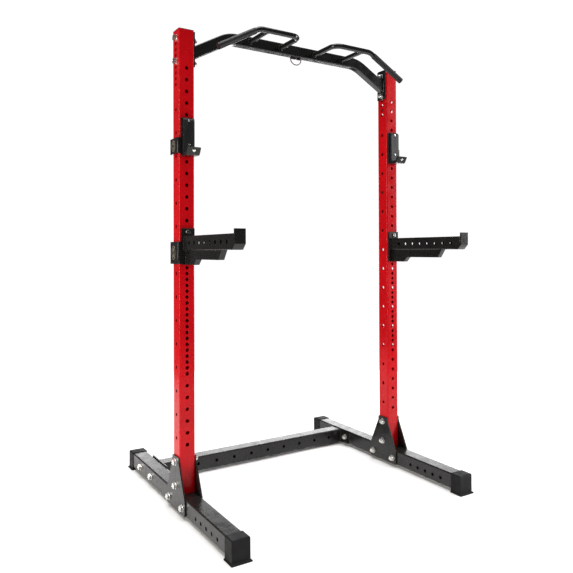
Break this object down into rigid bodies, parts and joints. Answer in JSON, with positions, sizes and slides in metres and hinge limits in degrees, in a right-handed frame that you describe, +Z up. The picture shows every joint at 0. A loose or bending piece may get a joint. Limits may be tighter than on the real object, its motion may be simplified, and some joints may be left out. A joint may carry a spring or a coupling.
{
  "type": "squat and pull-up stand",
  "caption": "Free-standing squat stand with drilled uprights, hook-in bar cups and safety arms, a bent pull-up beam with grips and a floor base.",
  "frame": {"origin": "on the floor under the middle of the overall box", "axes": "+Z up; -Y is the front, where the lifter stands; +X is towards the right upright seen from the front"},
  "size_m": [1.256, 1.184, 2.087],
  "materials": {
    "red_powder_coat": "gloss red powder coat with a fine orange-peel texture",
    "black_powder_coat": "satin black powder coat with a fine texture",
    "grip_coat": "satin black coat, knurled where the hands close",
    "foot_rubber": "matt moulded black rubber",
    "black_plastic": "matt black moulded plastic",
    "pad_plastic": "smooth black bearing plastic",
    "liner_plastic": "smooth black bearing plastic",
    "zinc_steel": "bright zinc plate"
  },
  "bodies": {
    "frame": {"left_upright": "red_powder_coat", "right_upright": "red_powder_coat", "left_upright_cap": "black_plastic", "right_upright_cap": "black_plastic", "left_base_tube": "black_powder_coat", "right_base_tube": "black_powder_coat", "left_front_foot": "foot_rubber", "left_rear_foot": "foot_rubber", "right_front_foot": "foot_rubber", "right_rear_foot": "foot_rubber", "left_outer_gusset": "black_powder_coat", "left_inner_gusset": "black_powder_coat", "right_outer_gusset": "black_powder_coat", "right_inner_gusset": "black_powder_coat", "rear_crossmember": "black_powder_coat", "pull_up_beam": "black_powder_coat", "left_grip": "grip_coat", "right_grip": "grip_coat", "left_grip_sleeve": "grip_coat", "right_grip_sleeve": "grip_coat", "left_grip_strut": "black_powder_coat", "right_grip_strut": "black_powder_coat", "grip_end_plugs": "black_plastic", "ring_bracket": "black_powder_coat", "gusset_bolts": "zinc_steel", "gusset_washers": "zinc_steel", "gusset_nuts": "zinc_steel", "cross_bolts": "zinc_steel", "cross_washers": "zinc_steel", "cross_nuts": "zinc_steel", "beam_bolts": "zinc_steel", "beam_washers": "zinc_steel", "beam_nuts": "zinc_steel"},
    "band_ring": {"band_ring": "zinc_steel"},
    "left_cup_pin": {"left_cup_pin": "zinc_steel"},
    "left_cup": {"left_cup_bracket": "black_powder_coat", "left_cup_liner": "liner_plastic", "left_cup_pad": "pad_plastic", "left_cup_tray_pad": "pad_plastic", "left_cup_screws": "zinc_steel"},
    "right_cup_pin": {"right_cup_pin": "zinc_steel"},
    "right_cup": {"right_cup_bracket": "black_powder_coat", "right_cup_liner": "liner_plastic", "right_cup_pad": "pad_plastic", "right_cup_tray_pad": "pad_plastic", "right_cup_screws": "zinc_steel"},
    "left_arm_pin": {"left_arm_pin": "zinc_steel"},
    "left_arm": {"left_arm_tube": "black_powder_coat", "left_arm_web": "black_powder_coat", "left_arm_stop": "black_powder_coat", "left_arm_bracket": "black_powder_coat", "left_arm_liner": "liner_plastic"},
    "right_arm_pin": {"right_arm_pin": "zinc_steel"},
    "right_arm": {"right_arm_tube": "black_powder_coat", "right_arm_web": "black_powder_coat", "right_arm_stop": "black_powder_coat", "right_arm_bracket": "black_powder_coat", "right_arm_liner": "liner_plastic"}
  },
  "joints": [
    {"name": "band_ring_swing", "type": "hinge", "parent": "frame", "child": "band_ring", "pos_m": [0, -0.06, 2.0315], "axis": [1, 0, 0], "range_deg": [-90, 90]},
    {"name": "left_cup_pull_out", "type": "slide", "parent": "frame", "child": "left_cup_pin", "axis": [0, -1, 0], "range_m": [0, 0.08]},
    {"name": "left_cup_swing", "type": "hinge", "parent": "left_cup_pin", "child": "left_cup", "pos_m": [-0.575, -0.06, 1.64], "axis": [0, 1, 0], "range_deg": [0, 90]},
    {"name": "right_cup_pull_out", "type": "slide", "parent": "frame", "child": "right_cup_pin", "axis": [0, -1, 0], "range_m": [0, 0.08]},
    {"name": "right_cup_swing", "type": "hinge", "parent": "right_cup_pin", "child": "right_cup", "pos_m": [0.575, -0.06, 1.69], "axis": [0, -1, 0], "range_deg": [0, 90]},
    {"name": "left_arm_pull_out", "type": "slide", "parent": "frame", "child": "left_arm_pin", "axis": [0, -1, 0], "range_m": [0, 0.08]},
    {"name": "left_arm_swing", "type": "hinge", "parent": "left_arm_pin", "child": "left_arm", "pos_m": [-0.575, -0.06, 1.19], "axis": [0, 1, 0], "range_deg": [0, 90]},
    {"name": "right_arm_pull_out", "type": "slide", "parent": "frame", "child": "right_arm_pin", "axis": [0, -1, 0], "range_m": [0, 0.08]},
    {"name": "right_arm_swing", "type": "hinge", "parent": "right_arm_pin", "child": "right_arm", "pos_m": [0.575, -0.06, 1.19], "axis": [0, -1, 0], "range_deg": [0, 90]}
  ]
}
